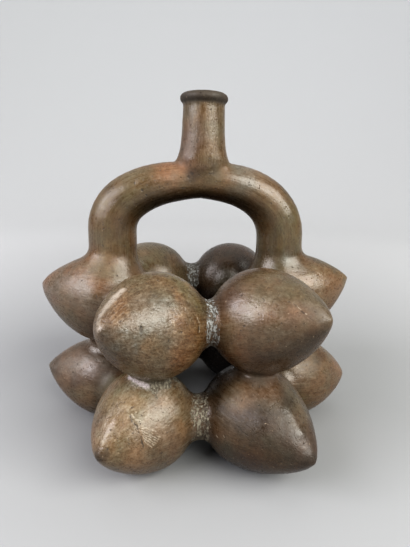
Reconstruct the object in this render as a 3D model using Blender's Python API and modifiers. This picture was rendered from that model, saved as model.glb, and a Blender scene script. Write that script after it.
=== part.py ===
"""Stirrup-spout vessel of fired clay: two stacked rings of pointed globes, hollow throughout."""
import math

import bmesh
import bpy
from mathutils import Matrix, Vector

# The vessel's own axis, measured from the middle of its extents on the table
AXIS_X = -0.0020
AXIS_Y = 0.0005

# Wall of the whole vessel, and how much is worn off the underside of each lower globe
WALL = 0.005
WORN_DEPTH = 0.0008

# Shape of a globe's half outline; its back is a share of its radius
BACK_REACH = 1.05
TIP_POWER = 1.76
TIP_ROUNDING = 0.84

# Globes as the potter set them, in millimetres and degrees: azimuth, distance from the
# vessel's axis, height of the centre, radius, tip's reach in radii, tip's lift and turn.
# A lower globe's centre is its own radius above the table.
UPPER_TIER = (
    (1, 59.5, 85.5, 28.1, 1.56, 17, -8),
    (60, 59.5, 82.5, 28.6, 1.54, 16, -1),
    (121, 60.0, 83.0, 28.1, 1.54, 17, 0),
    (180, 61.0, 84.0, 28.5, 1.51, 10, -11),
    (241, 60.0, 84.0, 28.9, 1.54, 14, -7),
    (300, 59.5, 85.5, 29.3, 1.53, 16, 5),
)
LOWER_TIER = (
    (356, 64.0, 28.5, 28.5, 1.51, -3, 7),
    (56, 62.5, 28.2, 28.2, 1.52, 1, 0),
    (116, 62.5, 28.2, 28.2, 1.52, 1, 0),
    (176, 62.0, 26.8, 26.8, 1.52, 9, -2),
    (237, 63.5, 28.1, 28.1, 1.41, 0, -2),
    (296, 60.5, 29.1, 29.1, 1.63, -3, 3),
)

# Necks that join neighbouring globes, and the passages through them
RING_NECK_RADIUS = 0.0125
STACK_NECK_RADIUS = 0.0108
NECK_FLARE = 0.0030
NECK_BURIED = 0.0020
PASSAGE_RADIUS = 0.0060

# Stirrup handle: a tube bent in one plane, fatter down its arms than at its crown.
# Each side has its own arm, height where the bend springs and sharpness of the bend.
LEFT_SIDE = (-0.0555, 0.1280, 2.20)
RIGHT_SIDE = (0.0525, 0.1210, 2.35)
CROWN_X = -0.0010
CROWN_Z = 0.1595
CROWN_RADIUS = 0.0107
ARM_RADIUS = 0.0149
FOOT_TOP_Z = 0.1160
FOOT_BOTTOM_Z = 0.0920
FOOT_FLARE = 0.0045
STIRRUP_BORE = 0.0068

# Spout: a slightly tapered tube that flares where it leaves the stirrup, and its rolled lip
SPOUT_JOIN_Z = 0.1724
SPOUT_ROOT_DEPTH = 0.0130
SPOUT_TOP_RADIUS = 0.0125
SPOUT_TAPER = 0.035
SPOUT_FLARE = 0.0023
SPOUT_FLARE_HEIGHT = 0.0065
SPOUT_BORE = 0.0083
LIP_BOTTOM_Z = 0.2042
LIP_TOP_Z = 0.2104
LIP_RADIUS = 0.0144
LIP_FLAT_RADIUS = 0.0106

# Facets
GLOBE_SIDES = 16
GLOBE_RINGS = 10
HOLLOW_SIDES = 10
HOLLOW_RINGS = 6
NECK_SIDES = 11
NECK_RINGS = 4
PASSAGE_SIDES = 6
BEND_POINTS = 8
FOOT_POINTS = 4
SPOUT_SIDES = 16
SPOUT_RINGS = 6
LIP_RINGS = 6
ROOT_RINGS = 4
TUBE_RESOLUTION = 6
BORE_RESOLUTION = 3
BLOCK_SIZE = 0.5
MERGE_DISTANCE = 0.00001
SMOOTH_ANGLE = math.radians(40)
MILLIMETRE = 0.001


def clear_scene():
    """Removes whatever the file holds."""
    for item in list(bpy.data.objects):
        bpy.data.objects.remove(item, do_unlink=True)


def new_collection(name):
    """A collection linked to the scene."""
    collection = bpy.data.collections.new(name)
    bpy.context.scene.collection.children.link(collection)
    return collection


def evaluated_mesh(item, name):
    """The item's mesh with its modifiers applied, in world space and welded."""
    bpy.context.view_layer.update()
    graph = bpy.context.evaluated_depsgraph_get()
    mesh = bpy.data.meshes.new_from_object(item.evaluated_get(graph))
    mesh.name = name
    mesh.transform(item.matrix_world)
    form = bmesh.new()
    form.from_mesh(mesh)
    bmesh.ops.remove_doubles(form, verts=form.verts, dist=MERGE_DISTANCE)
    form.to_mesh(mesh)
    form.free()
    return mesh


def made_solid(item, name, collection):
    """Swaps a working object for a plain mesh object of its evaluated form."""
    mesh = evaluated_mesh(item, name)
    bpy.data.objects.remove(item, do_unlink=True)
    solid = bpy.data.objects.new(name, mesh)
    collection.objects.link(solid)
    return solid


def turned(name, profile, sides, placing, collection):
    """Turns a profile of (radius, height) points, listed from top to bottom, about its axis."""
    mesh = bpy.data.meshes.new(name)
    points = [(radius, 0.0, height) for radius, height in profile]
    edges = [(index, index + 1) for index in range(len(points) - 1)]
    mesh.from_pydata(points, edges, [])
    item = bpy.data.objects.new(name, mesh)
    collection.objects.link(item)
    item.matrix_world = placing
    screw = item.modifiers.new("turn", "SCREW")
    screw.steps = sides
    screw.render_steps = sides
    screw.use_merge_vertices = True
    screw.merge_threshold = MERGE_DISTANCE
    return made_solid(item, name, collection)


def united(name, solids, collection):
    """Joins overlapping solids into one closed body."""
    base = solids[0]
    for other in solids[1:]:
        join = base.modifiers.new("join", "BOOLEAN")
        join.operation = "UNION"
        join.solver = "EXACT"
        join.object = other
    whole = made_solid(base, name, collection)
    for other in solids[1:]:
        bpy.data.objects.remove(other, do_unlink=True)
    return whole


def cut(solid, cutter):
    """Cuts one solid with another by a live modifier."""
    removal = solid.modifiers.new("cut " + cutter.name, "BOOLEAN")
    removal.operation = "DIFFERENCE"
    removal.solver = "EXACT"
    removal.object = cutter
    cutter.hide_render = True
    cutter.display_type = "WIRE"


def along(origin, direction):
    """A placing whose own Z axis points along a direction."""
    turn = direction.to_track_quat("Z", "Y").to_matrix().to_4x4()
    return Matrix.Translation(origin) @ turn


class Globe:
    """One pointed globe: where its centre is and where its tip points."""

    def __init__(self, azimuth, distance, height, radius, reach, lift, turn):
        """Takes a tier's row, in millimetres and degrees."""
        angle = math.radians(azimuth)
        tip_angle = math.radians(azimuth + turn)
        rise = math.radians(lift)
        self.radius = radius * MILLIMETRE
        self.reach = reach
        self.centre = MILLIMETRE * Vector((
            distance * math.cos(angle),
            distance * math.sin(angle),
            height,
        ))
        self.tip = Vector((
            math.cos(rise) * math.cos(tip_angle),
            math.cos(rise) * math.sin(tip_angle),
            math.sin(rise),
        ))


def globe_profile(radius, reach, rings):
    """Half outline of a globe from its tip down to its back."""
    points = []
    for index in range(rings + 1):
        turn = math.pi * index / rings
        along_axis = math.cos(turn)
        if along_axis > 0:
            width = (1 - along_axis ** TIP_POWER) ** TIP_ROUNDING
            height = reach * along_axis
        else:
            width = math.sin(turn)
            height = BACK_REACH * along_axis
        on_axis = index in (0, rings)
        points.append((0.0 if on_axis else radius * width, radius * height))
    return points


def globe_solid(globe, thinner, sides, rings, collection):
    """A globe, or its hollow when a wall's thickness is taken off."""
    profile = globe_profile(globe.radius - thinner, globe.reach, rings)
    return turned("globe", profile, sides, along(globe.centre, globe.tip), collection)


def neck_solid(first, second, neck_radius, collection):
    """A waisted collar of clay between two globes, its ends buried in both."""
    middle = (first.centre + second.centre) / 2
    half_distance = (second.centre - first.centre).length / 2
    globe_radius = min(first.radius, second.radius)
    buried_radius = neck_radius + NECK_FLARE + NECK_BURIED
    half_length = half_distance - math.sqrt(globe_radius ** 2 - buried_radius ** 2)
    profile = [(0.0, half_length)]
    for index in range(NECK_RINGS + 1):
        share = 1 - 2 * index / NECK_RINGS
        profile.append((neck_radius + NECK_FLARE * share ** 2, half_length * share))
    profile.append((0.0, -half_length))
    placing = along(middle, second.centre - first.centre)
    return turned("neck", profile, NECK_SIDES, placing, collection)


def passage_solid(first, second, collection):
    """The way through a neck, from one hollow to the next."""
    middle = (first.centre + second.centre) / 2
    half = (second.centre - first.centre).length / 4
    profile = [(0.0, half), (PASSAGE_RADIUS, half), (PASSAGE_RADIUS, -half), (0.0, -half)]
    placing = along(middle, second.centre - first.centre)
    return turned("passage", profile, PASSAGE_SIDES, placing, collection)


def neck_pairs(upper, lower):
    """Every pair of globes that a neck joins, with the neck's radius."""
    pairs = []
    count = len(upper)
    for index in range(count):
        following = (index + 1) % count
        pairs.append((upper[index], upper[following], RING_NECK_RADIUS))
        pairs.append((lower[index], lower[following], RING_NECK_RADIUS))
        pairs.append((lower[index], upper[index], STACK_NECK_RADIUS))
    return pairs


def stirrup_side(arm_x, spring_z, bend_power):
    """Half of the stirrup's centreline, from its foot up to just before the crown's middle."""
    half = []
    for index in range(FOOT_POINTS):
        share = 1 - index / FOOT_POINTS
        height = FOOT_TOP_Z + (FOOT_BOTTOM_Z - FOOT_TOP_Z) * share
        half.append((Vector((arm_x, 0, height)), ARM_RADIUS + FOOT_FLARE * share))
    half.append((Vector((arm_x, 0, FOOT_TOP_Z)), ARM_RADIUS))
    for index in range(BEND_POINTS):
        turn = math.pi / 2 * index / BEND_POINTS
        across = math.cos(turn) ** (2 / bend_power)
        up = math.sin(turn) ** (2 / bend_power)
        place = Vector((
            CROWN_X + (arm_x - CROWN_X) * across,
            0,
            spring_z + (CROWN_Z - spring_z) * up,
        ))
        half.append((place, CROWN_RADIUS + (ARM_RADIUS - CROWN_RADIUS) * across))
    return half


def stirrup_route():
    """Centreline and radii of the stirrup, from the left foot over the crown to the right foot."""
    crown = [(Vector((CROWN_X, 0, CROWN_Z)), CROWN_RADIUS)]
    return stirrup_side(*LEFT_SIDE) + crown + stirrup_side(*RIGHT_SIDE)[::-1]


def tube_solid(name, route, resolution, collection):
    """A capped tube along a route of (place, radius) points."""
    curve = bpy.data.curves.new(name, "CURVE")
    curve.dimensions = "3D"
    curve.bevel_depth = 1.0
    curve.bevel_resolution = resolution
    curve.use_fill_caps = True
    line = curve.splines.new("POLY")
    line.points.add(len(route) - 1)
    for point, (place, radius) in zip(line.points, route):
        point.co = (*place, 1)
        point.radius = radius
    item = bpy.data.objects.new(name, curve)
    collection.objects.link(item)
    return made_solid(item, name, collection)


def spout_profile():
    """Outer outline from the middle of the lip's flat top down to a round root in the stirrup."""
    profile = [(0.0, LIP_TOP_Z)]
    lip_middle = (LIP_TOP_Z + LIP_BOTTOM_Z) / 2
    lip_half = (LIP_TOP_Z - LIP_BOTTOM_Z) / 2
    for index in range(LIP_RINGS + 1):
        share = 1 - 2 * index / LIP_RINGS
        inner = LIP_FLAT_RADIUS if share > 0 else SPOUT_TOP_RADIUS
        width = inner + (LIP_RADIUS - inner) * math.sqrt(1 - share ** 2)
        profile.append((width, lip_middle + lip_half * share))
    for index in range(1, SPOUT_RINGS + 1):
        height = LIP_BOTTOM_Z - (LIP_BOTTOM_Z - SPOUT_JOIN_Z) * index / SPOUT_RINGS
        below_lip = LIP_BOTTOM_Z - height
        flare = SPOUT_FLARE * math.exp(-(height - SPOUT_JOIN_Z) / SPOUT_FLARE_HEIGHT)
        profile.append((SPOUT_TOP_RADIUS + SPOUT_TAPER * below_lip + flare, height))
    join_radius = profile[-1][0]
    for index in range(1, ROOT_RINGS + 1):
        turn = math.pi / 2 * index / ROOT_RINGS
        width = 0.0 if index == ROOT_RINGS else join_radius * math.cos(turn)
        profile.append((width, SPOUT_JOIN_Z - SPOUT_ROOT_DEPTH * math.sin(turn)))
    return profile


def outer_form(upper, lower, collection):
    """Everything that the hand can touch, as one body."""
    pieces = [globe_solid(globe, 0.0, GLOBE_SIDES, GLOBE_RINGS, collection) for globe in upper + lower]
    for first, second, radius in neck_pairs(upper, lower):
        pieces.append(neck_solid(first, second, radius, collection))
    pieces.append(tube_solid("stirrup", stirrup_route(), TUBE_RESOLUTION, collection))
    pieces.append(turned("spout", spout_profile(), SPOUT_SIDES, Matrix.Identity(4), collection))
    return united("stirrup_vessel", pieces, collection)


def hollow_form(upper, lower, collection):
    """The one connected space inside, out through the mouth of the spout."""
    pieces = [globe_solid(globe, WALL, HOLLOW_SIDES, HOLLOW_RINGS, collection) for globe in upper + lower]
    for first, second, _ in neck_pairs(upper, lower):
        pieces.append(passage_solid(first, second, collection))
    bore_route = [(place, STIRRUP_BORE) for place, _ in stirrup_route()]
    pieces.append(tube_solid("stirrup bore", bore_route, BORE_RESOLUTION, collection))
    top = LIP_TOP_Z + WALL
    bottom = CROWN_Z
    bore = [(0.0, top), (SPOUT_BORE, top), (SPOUT_BORE, bottom), (0.0, bottom)]
    pieces.append(turned("spout bore", bore, HOLLOW_SIDES, Matrix.Identity(4), collection))
    return united("hollow", pieces, collection)


def ground_block(collection):
    """A block below the table, which flattens the undersides of the lower globes."""
    form = bmesh.new()
    bmesh.ops.create_cube(form, size=BLOCK_SIZE)
    mesh = bpy.data.meshes.new("ground")
    form.to_mesh(mesh)
    form.free()
    block = bpy.data.objects.new("ground", mesh)
    block.location = (0, 0, WORN_DEPTH - BLOCK_SIZE / 2)
    collection.objects.link(block)
    return block


def fired_clay():
    """Burnished brown clay."""
    material = bpy.data.materials.new("fired_clay")
    material.use_nodes = True
    shader = material.node_tree.nodes["Principled BSDF"]
    shader.inputs["Base Color"].default_value = (0.20, 0.12, 0.075, 1)
    shader.inputs["Roughness"].default_value = 0.45
    shader.inputs["Metallic"].default_value = 0.0
    material.diffuse_color = (0.35, 0.24, 0.17, 1)
    return material


def main():
    """Builds the vessel."""
    clear_scene()
    vessel_parts = new_collection("stirrup vessel")
    cutters = new_collection("cutters")
    upper = [Globe(*values) for values in UPPER_TIER]
    lower = [Globe(*values) for values in LOWER_TIER]
    vessel = outer_form(upper, lower, vessel_parts)
    hollow = hollow_form(upper, lower, cutters)
    ground = ground_block(cutters)
    cut(vessel, hollow)
    cut(vessel, ground)
    axis = bpy.data.objects.new("vessel_axis", None)
    axis.location = (AXIS_X, AXIS_Y, -WORN_DEPTH)
    vessel_parts.objects.link(axis)
    for item in (vessel, hollow, ground):
        item.parent = axis
    vessel.data.materials.append(fired_clay())
    vessel.data.shade_smooth()
    vessel.data.set_sharp_from_angle(angle=SMOOTH_ANGLE)


main()
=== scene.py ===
"""Stirrup-spout vessel of burnished clay: the finished surface, its stage, lights and camera."""
import math

import bpy
import numpy as np
from mathutils import Matrix, Vector


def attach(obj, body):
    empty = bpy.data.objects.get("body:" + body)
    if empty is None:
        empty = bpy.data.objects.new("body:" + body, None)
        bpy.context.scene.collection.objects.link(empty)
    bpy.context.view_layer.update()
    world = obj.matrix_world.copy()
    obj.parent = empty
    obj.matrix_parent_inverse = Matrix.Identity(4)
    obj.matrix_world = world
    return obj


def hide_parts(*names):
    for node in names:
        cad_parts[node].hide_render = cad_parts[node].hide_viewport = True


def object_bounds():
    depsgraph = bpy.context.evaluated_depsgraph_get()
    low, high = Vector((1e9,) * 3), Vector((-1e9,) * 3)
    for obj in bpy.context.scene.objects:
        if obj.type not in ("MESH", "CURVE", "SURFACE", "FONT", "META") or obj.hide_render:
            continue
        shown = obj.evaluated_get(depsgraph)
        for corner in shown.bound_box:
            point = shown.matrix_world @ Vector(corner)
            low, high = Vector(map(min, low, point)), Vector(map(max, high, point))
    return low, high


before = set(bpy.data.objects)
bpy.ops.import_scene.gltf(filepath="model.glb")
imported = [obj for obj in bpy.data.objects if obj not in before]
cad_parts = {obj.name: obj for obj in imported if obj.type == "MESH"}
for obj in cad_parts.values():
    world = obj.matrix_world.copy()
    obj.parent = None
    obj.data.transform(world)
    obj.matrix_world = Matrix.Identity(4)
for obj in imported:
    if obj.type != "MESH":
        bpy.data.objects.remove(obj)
CAD_LOW, CAD_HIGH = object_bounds()

MILLIMETRE = 0.001

# The vessel's own axis, sunk a little so that the lower globes stand on flats, and its wall
AXIS = np.array((-0.0020, 0.0005, -0.0008))
WALL = 0.005

# Shape of a globe's half outline, as in the solid
BACK_REACH = 1.05
TIP_POWER = 1.76
TIP_ROUNDING = 0.84

# Globes in millimetres and degrees: azimuth, distance from the axis, height of the centre,
# radius, tip's reach in radii, tip's lift and turn
GLOBES = {
    "upper_right": (1, 59.5, 85.5, 28.1, 1.56, 17, -8),
    "upper_back_right": (60, 59.5, 82.5, 28.6, 1.54, 16, -1),
    "upper_back_left": (121, 60.0, 83.0, 28.1, 1.54, 17, 0),
    "upper_left": (180, 61.0, 84.0, 28.5, 1.51, 10, -11),
    "upper_front_left": (241, 60.0, 84.0, 28.9, 1.54, 14, -7),
    "upper_front_right": (300, 59.5, 85.5, 29.3, 1.53, 16, 5),
    "lower_right": (356, 64.0, 28.5, 28.5, 1.51, -3, 7),
    "lower_back_right": (56, 62.5, 28.2, 28.2, 1.52, 1, 0),
    "lower_back_left": (116, 62.5, 28.2, 28.2, 1.52, 1, 0),
    "lower_left": (176, 62.0, 26.8, 26.8, 1.52, 9, -2),
    "lower_front_left": (237, 63.5, 28.1, 28.1, 1.41, 0, -2),
    "lower_front_right": (296, 60.5, 29.1, 29.1, 1.63, -3, 3),
}
TIER_COUNT = 6
RING_NECK_RADIUS = 0.0125
STACK_NECK_RADIUS = 0.0108
PASSAGE_RADIUS = 0.0060

# Stirrup: arm x, height where the bend springs and sharpness of the bend on each side
LEFT_SIDE = (-0.0555, 0.1280, 2.20)
RIGHT_SIDE = (0.0525, 0.1210, 2.35)
CROWN_X = -0.0010
CROWN_Z = 0.1595
CROWN_RADIUS = 0.0107
ARM_RADIUS = 0.0149
FOOT_TOP_Z = 0.1160
FOOT_BOTTOM_Z = 0.0920
FOOT_FLARE = 0.0045
FOOT_POWER = 1.6
STIRRUP_BORE = 0.0068
BEND_STEPS = 16
FOOT_STEPS = 10

# Spout and its rolled lip
SPOUT_JOIN_Z = 0.1724
SPOUT_ROOT_DEPTH = 0.0170
SPOUT_TOP_RADIUS = 0.0125
SPOUT_TAPER = 0.035
SPOUT_FLARE = 0.0023
SPOUT_FLARE_HEIGHT = 0.0057
SPOUT_BORE = 0.0083
LIP_Z = 0.2073
LIP_RING_RADIUS = 0.0108
LIP_ROLL_WIDTH = 0.0036
LIP_ROLL_HEIGHT = 0.0031
LIP_BOTTOM_Z = 0.2042

# Widths over which one form runs into the next, where their clay was smeared together
GLOBE_BLEND = 0.0010
NECK_BLEND = 0.0040
STIRRUP_BLEND = 0.0075
SPOUT_BLEND = 0.0030
LIP_BLEND = 0.0012
HOLLOW_BLEND = 0.0020

# Cells of the outer and the inner mesh
OUTER_CELL = 0.00160
INNER_CELL = 0.0034

# A distance that stands for none, how far round a form its distance is worked out, and the
# least values that lengths and slopes are divided by
FAR = 1.0
NEAR_MARGIN = 0.009
LEAST_LENGTH = 1e-6
LEAST_SLOPE = 1e-3
LEAST_STEEPNESS = 0.05
LEAST_WEIGHT = 1e-9

# Sets the strokes of one form apart from those of the next
FORM_SHIFT = 0.31

# The camera: its place and turn from the vessel's axis, and its focal length in pixels
IMAGE_WIDTH = 410
IMAGE_HEIGHT = 547
FOCAL_PIXELS = 409.95
PRINCIPAL_PIXEL = (IMAGE_WIDTH / 2, IMAGE_HEIGHT / 2)
CAMERA_PLACE = Vector((0.0036, -0.26327, 0.16349))
CAMERA_YAW = math.radians(-7.252)
CAMERA_PITCH = math.radians(-13.6)
CAMERA_ROLL = math.radians(1.744)
SENSOR_WIDTH = 36.0
CLIP_START = 0.01
CLIP_END = 20.0

# How a sight line is followed: where it starts, its longest step, the share of the distance
# that a step takes, and the count of steps
SIGHT_START = 0.12
SIGHT_STEP = 0.004
SIGHT_SHARE = 0.6
SIGHT_STEPS = 260

# Lattice noise: how many random values it has, the primes that scatter the lattice's corners
# over them, and the shift that sets one seed's lattice apart from the next
LATTICE_VALUES = 4096
LATTICE_PRIMES = (73856093, 19349663, 83492791)
LATTICE_SHIFT = 0.37

# The corners of a cell
CORNERS = np.array([(index & 1, index >> 1 & 1, index >> 2 & 1) for index in range(8)])


def smooth_step(low, high, value):
    """0 below low, 1 above high, and a soft ramp between; low may lie above high."""
    share = np.clip((value - low) / (high - low), 0, 1)
    return share * share * (3 - 2 * share)


def smooth_min(first, second, width):
    """The lesser of two distances, rounded where they are within a width of each other."""
    share = np.clip(0.5 + 0.5 * (second - first) / width, 0, 1)
    return second + (first - second) * share - width * share * (1 - share)


def lattice_noise(points, size, seed):
    """Soft random values from -1 to 1 on a lattice of a size in metres."""
    table = np.random.default_rng(seed).uniform(-1, 1, LATTICE_VALUES)
    place = points / size + LATTICE_SHIFT * seed
    corner = np.floor(place).astype(np.int64)
    inside = place - corner
    ease = inside * inside * (3 - 2 * inside)
    total = np.zeros(len(points))
    for step in CORNERS:
        cell = (corner + step) * LATTICE_PRIMES
        key = cell[:, 0] ^ cell[:, 1] ^ cell[:, 2]
        weight = np.prod(np.where(step, ease, 1 - ease), axis=1)
        total += weight * table[key & (LATTICE_VALUES - 1)]
    return total


def layered_noise(points, size, seed, layers):
    """Lattice noise with finer and weaker layers on top."""
    total = np.zeros(len(points))
    for layer in range(layers):
        total += lattice_noise(points, size / 2 ** layer, seed + layer) / 2 ** layer
    return total


def waves(points, rows):
    """The sum of layered noises, each row of them its strength, size in metres, seed, layers."""
    total = np.zeros(len(points))
    for strength, size, seed, layers in rows:
        total += strength * layered_noise(points, size, seed, layers)
    return total


class Form:
    """One simple form of the vessel: its box, how it blends, and its distance."""

    def __init__(self, low, high, blend):
        """Keeps the box, widened by the reach of the blends."""
        self.low = np.asarray(low) - NEAR_MARGIN
        self.high = np.asarray(high) + NEAR_MARGIN
        self.blend = blend

    def near(self, points):
        """Which points lie in the form's box."""
        return np.all((points > self.low) & (points < self.high), axis=1)


class Globe(Form):
    """A pointed globe."""

    def __init__(self, azimuth, distance, height, radius, reach, lift, turn, thinner=0.0):
        """Takes a row of the table of globes; thinner takes a wall off it."""
        angle = math.radians(azimuth)
        tip_angle = math.radians(azimuth + turn)
        rise = math.radians(lift)
        self.centre = MILLIMETRE * np.array((
            distance * math.cos(angle),
            distance * math.sin(angle),
            height,
        )) + AXIS
        self.tip = np.array((
            math.cos(rise) * math.cos(tip_angle),
            math.cos(rise) * math.sin(tip_angle),
            math.sin(rise),
        ))
        self.radius = radius * MILLIMETRE - thinner
        self.reach = reach
        extent = self.radius * reach
        super().__init__(self.centre - extent, self.centre + extent, GLOBE_BLEND)

    def distance(self, points):
        """Distance to the surface, close to true near it."""
        offset = points - self.centre
        along = offset @ self.tip
        across = np.sqrt(np.maximum((offset * offset).sum(1) - along * along, 0))
        x = along / self.radius
        y = np.maximum(across / self.radius, LEAST_LENGTH)
        ahead = np.maximum(x, LEAST_LENGTH) / self.reach
        front_level = y ** (1 / TIP_ROUNDING) + ahead ** TIP_POWER - 1
        front_x = TIP_POWER / self.reach * ahead ** (TIP_POWER - 1)
        front_y = y ** (1 / TIP_ROUNDING - 1) / TIP_ROUNDING
        length = np.hypot(y, x / BACK_REACH)
        back_x = x / BACK_REACH ** 2 / length
        back_y = y / length
        in_front = x > 0
        level = np.where(in_front, front_level, length - 1)
        slope = np.where(in_front, np.hypot(front_x, front_y), np.hypot(back_x, back_y))
        return level / np.maximum(slope, LEAST_SLOPE) * self.radius

    def local(self, points):
        """Coordinates with the tip along Z, for strokes that run towards the tip."""
        turn = Vector(self.tip).to_track_quat("Z", "Y").to_matrix()
        return (points - self.centre) @ np.array(turn)


class Tube(Form):
    """A chain of tapered round lengths through (place, radius) points."""

    def __init__(self, route, blend):
        """Takes world places and radii."""
        self.places = np.array([place for place, _ in route])
        self.radii = np.array([radius for _, radius in route])
        widest = self.radii.max()
        super().__init__(self.places.min(0) - widest, self.places.max(0) + widest, blend)

    def nearest(self, points):
        """Distance to the surface, and coordinates along a chain in the XZ plane: the offset
        along Y, the offset outward in the plane, and the way run along the chain."""
        best = np.full(len(points), FAR)
        local = np.zeros((len(points), 3))
        start_run = 0.0
        for index in range(len(self.places) - 1):
            start = self.places[index]
            step = self.places[index + 1] - start
            length = np.linalg.norm(step)
            share = np.clip((points - start) @ step / length ** 2, 0, 1)
            offset = points - start - share[:, None] * step
            radius = self.radii[index] + (self.radii[index + 1] - self.radii[index]) * share
            distance = np.linalg.norm(offset, axis=1) - radius
            closer = distance < best
            best = np.where(closer, distance, best)
            outward = (offset[:, 2] * step[0] - offset[:, 0] * step[2]) / length
            here = np.stack([offset[:, 1], outward, start_run + share * length], 1)
            local = np.where(closer[:, None], here, local)
            start_run += length
        return best, local

    def distance(self, points):
        """Distance to the surface."""
        return self.nearest(points)[0]


class Spout(Form):
    """The tapered spout with its rolled lip."""

    def __init__(self):
        """The spout stands on the vessel's axis."""
        reach = SPOUT_TOP_RADIUS + SPOUT_FLARE
        low = AXIS + np.array((-reach, -reach, SPOUT_JOIN_Z - SPOUT_ROOT_DEPTH))
        high = AXIS + np.array((reach, reach, LIP_Z + LIP_ROLL_HEIGHT))
        super().__init__(low, high, SPOUT_BLEND)

    def distance(self, points):
        """Distance to the surface: a cone that flares along the stirrup, with a round root."""
        offset = points - AXIS
        across = np.maximum(np.hypot(offset[:, 0], offset[:, 1]), LEAST_LENGTH)
        height = offset[:, 2]
        along_stirrup = (offset[:, 0] / across) ** 2
        rise = np.maximum(height - SPOUT_JOIN_Z, 0)
        sink = np.maximum(SPOUT_JOIN_Z - height, 0) / SPOUT_ROOT_DEPTH
        radius = SPOUT_TOP_RADIUS + SPOUT_TAPER * (LIP_BOTTOM_Z - height)
        radius += SPOUT_FLARE * along_stirrup * np.exp(-rise / SPOUT_FLARE_HEIGHT)
        wall = (np.hypot(across / radius, sink) - 1) * radius
        flattened = (height - LIP_Z) * LIP_ROLL_WIDTH / LIP_ROLL_HEIGHT
        lip = np.hypot(across - LIP_RING_RADIUS, flattened) - LIP_ROLL_WIDTH
        return smooth_min(np.maximum(wall, height - LIP_Z), lip, LIP_BLEND)


def stirrup_side(arm_x, spring_z, bend_power):
    """Half of the stirrup's centreline, from its foot up to just before the crown's middle."""
    half = []
    for index in range(FOOT_STEPS):
        share = 1 - index / FOOT_STEPS
        height = FOOT_TOP_Z + (FOOT_BOTTOM_Z - FOOT_TOP_Z) * share
        half.append((AXIS + (arm_x, 0, height), ARM_RADIUS + FOOT_FLARE * share ** FOOT_POWER))
    half.append((AXIS + (arm_x, 0, FOOT_TOP_Z), ARM_RADIUS))
    for index in range(BEND_STEPS):
        turn = math.pi / 2 * index / BEND_STEPS
        across = math.cos(turn) ** (2 / bend_power)
        up = math.sin(turn) ** (2 / bend_power)
        x = CROWN_X + (arm_x - CROWN_X) * across
        z = spring_z + (CROWN_Z - spring_z) * up
        half.append((AXIS + (x, 0, z), CROWN_RADIUS + (ARM_RADIUS - CROWN_RADIUS) * across))
    return half


def stirrup_route():
    """Centreline and radii of the stirrup, from the left foot over the crown to the right foot."""
    crown = [(AXIS + (CROWN_X, 0, CROWN_Z), CROWN_RADIUS)]
    return stirrup_side(*LEFT_SIDE) + crown + stirrup_side(*RIGHT_SIDE)[::-1]


def joined_pairs(globes):
    """Every pair of globes that a neck joins, with the neck's radius."""
    upper = globes[:TIER_COUNT]
    lower = globes[TIER_COUNT:]
    pairs = []
    for index in range(TIER_COUNT):
        following = (index + 1) % TIER_COUNT
        pairs.append((upper[index], upper[following], RING_NECK_RADIUS))
        pairs.append((lower[index], lower[following], RING_NECK_RADIUS))
        pairs.append((lower[index], upper[index], STACK_NECK_RADIUS))
    return pairs


def neck_between(first, second, radius, blend):
    """A round neck about the line between two globes, ending well inside both."""
    start = first.centre + (second.centre - first.centre) / 4
    end = second.centre + (first.centre - second.centre) / 4
    return Tube([(start, radius), (end, radius)], blend)


GLOBE_FORMS = [Globe(*values) for values in GLOBES.values()]
NECK_FORMS = [neck_between(*pair, NECK_BLEND) for pair in joined_pairs(GLOBE_FORMS)]
STIRRUP = Tube(stirrup_route(), STIRRUP_BLEND)
SPOUT = Spout()
MAIN_FORMS = GLOBE_FORMS + [STIRRUP, SPOUT]
OUTER_FORMS = GLOBE_FORMS + NECK_FORMS + [STIRRUP, SPOUT]


def hollow_forms():
    """The one connected space inside, out through the mouth of the spout."""
    hollows = [Globe(*values, thinner=WALL) for values in GLOBES.values()]
    passages = [
        neck_between(first, second, PASSAGE_RADIUS, HOLLOW_BLEND)
        for first, second, _ in joined_pairs(GLOBE_FORMS)
    ]
    bore = Tube([(place, STIRRUP_BORE) for place, _ in stirrup_route()], HOLLOW_BLEND)
    top = AXIS + (0, 0, LIP_Z + LIP_ROLL_HEIGHT + WALL)
    bottom = AXIS + (0, 0, CROWN_Z)
    return hollows + passages + [bore, Tube([(bottom, SPOUT_BORE), (top, SPOUT_BORE)], HOLLOW_BLEND)]


def form_distance(points, forms):
    """Distance to the blended forms."""
    total = np.full(len(points), FAR)
    for form in forms:
        near = form.near(points)
        if near.any():
            total[near] = smooth_min(total[near], form.distance(points[near]), form.blend)
    return total


def outer_distance(points):
    """Distance to the outside of the vessel, flat where it stands on the table."""
    return np.maximum(form_distance(points, OUTER_FORMS), -points[:, 2])


def slope_of(distance, points, step=0.00005):
    """Direction in which a distance grows."""
    slope = np.empty_like(points)
    for axis in range(3):
        shift = np.zeros(3)
        shift[axis] = step
        slope[:, axis] = (distance(points + shift) - distance(points - shift)) / (2 * step)
    return slope


def settled(distance, points, rounds=3):
    """Points moved onto the surface."""
    for _ in range(rounds):
        slope = slope_of(distance, points)
        steep = np.maximum((slope * slope).sum(1), LEAST_STEEPNESS)
        points = points - (distance(points) / steep)[:, None] * slope
    return points


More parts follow.
